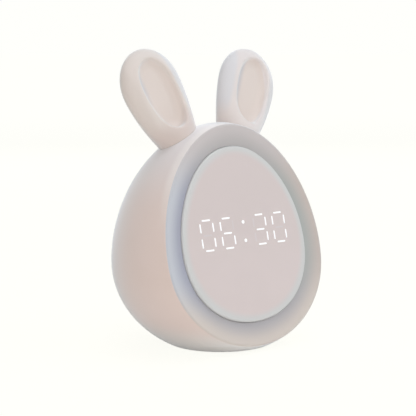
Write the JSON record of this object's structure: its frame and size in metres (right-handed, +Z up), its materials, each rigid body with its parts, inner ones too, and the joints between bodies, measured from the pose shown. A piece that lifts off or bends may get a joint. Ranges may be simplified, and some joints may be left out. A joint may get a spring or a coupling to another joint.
{
  "type": "kids alarm clock with night light",
  "caption": "Egg-shaped bedside alarm clock with two ears and a glowing front panel that shows the time; buttons, power slide, charging socket and grille at the back.",
  "frame": {"origin": "on the surface that the clock stands on, at the middle of the foot pad's underside and under the axis of the egg-shaped body", "axes": "+Z up; -Y is where the front panel looks; +X is to the right seen from the front"},
  "size_m": [0.088, 0.0625, 0.1189],
  "materials": {
    "shell_white": "fine matt, warm white",
    "ear_white": "fine matt, warm white",
    "panel_milk": "satin, translucent milk white",
    "digit_light": "milk white, lit from behind",
    "digit_dark": "milk white, unlit",
    "inner_white": "plain, moulded",
    "diffuser_film": "matt film",
    "board_white": "solder mask, satin",
    "board_green": "solder mask, satin",
    "led_white": "phosphor in a white case",
    "button_white": "fine matt",
    "switch_black": "plain, moulded",
    "knob_grey": "plain, moulded",
    "screw_steel": "zinc plated",
    "socket_steel": "bright plated",
    "foam_black": "open foam",
    "speaker_metal": "pressed, painted",
    "cone_paper": "pressed paper",
    "cell_wrap": "shrink film",
    "contact_nickel": "nickel plated",
    "foot_rubber": "soft, matt"
  },
  "bodies": {
    "housing": {"body_shell": "shell_white", "rear_cover": "shell_white", "front_panel": "panel_milk", "segment_housing": "inner_white", "lit_segments": "digit_light", "unlit_segments": "digit_dark", "diffuser_sheet": "diffuser_film", "reflector_frame": "inner_white", "light_board": "board_white", "digit_leds": "led_white", "night_leds": "led_white", "light_board_screws": "screw_steel", "ear_left": "ear_white", "ear_right": "ear_white", "ear_clamp_left": "inner_white", "ear_clamp_right": "inner_white", "ear_screws": "screw_steel", "cover_screws": "screw_steel", "control_board": "board_green", "control_chips": "switch_black", "switch_bodies": "switch_black", "slide_switch": "socket_steel", "usb_shell": "socket_steel", "usb_tongue": "switch_black", "board_screws": "screw_steel", "speaker_gasket": "foam_black", "speaker_frame": "speaker_metal", "speaker_cone": "cone_paper", "speaker_magnet": "screw_steel", "speaker_retainer": "inner_white", "battery_cell": "cell_wrap", "battery_cradle": "inner_white", "cradle_screws": "screw_steel", "battery_contacts": "contact_nickel", "foot_pad": "foot_rubber"},
    "button_mode": {"button_mode": "button_white", "switch_plunger_mode": "switch_black"},
    "button_down": {"button_down": "button_white", "switch_plunger_down": "switch_black"},
    "button_up": {"button_up": "button_white", "switch_plunger_up": "switch_black"},
    "button_light": {"button_light": "button_white", "switch_plunger_light": "switch_black"},
    "slide": {"slide_knob": "knob_grey"}
  },
  "joints": [
    {"name": "mode_press", "type": "slide", "parent": "housing", "child": "button_mode", "axis": [0, -1, 0], "range_m": [0, 0.0005], "stiffness_N_per_m": 1500, "springref_m": -0.0005},
    {"name": "down_press", "type": "slide", "parent": "housing", "child": "button_down", "axis": [0, -1, 0], "range_m": [0, 0.0005], "stiffness_N_per_m": 1500, "springref_m": -0.0005},
    {"name": "up_press", "type": "slide", "parent": "housing", "child": "button_up", "axis": [0, -1, 0], "range_m": [0, 0.0005], "stiffness_N_per_m": 1500, "springref_m": -0.0005},
    {"name": "light_press", "type": "slide", "parent": "housing", "child": "button_light", "axis": [0, -1, 0], "range_m": [0, 0.0005], "stiffness_N_per_m": 1500, "springref_m": -0.0005},
    {"name": "power_slide", "type": "slide", "parent": "housing", "child": "slide", "axis": [1, 0, 0], "range_m": [0, 0.002]}
  ]
}
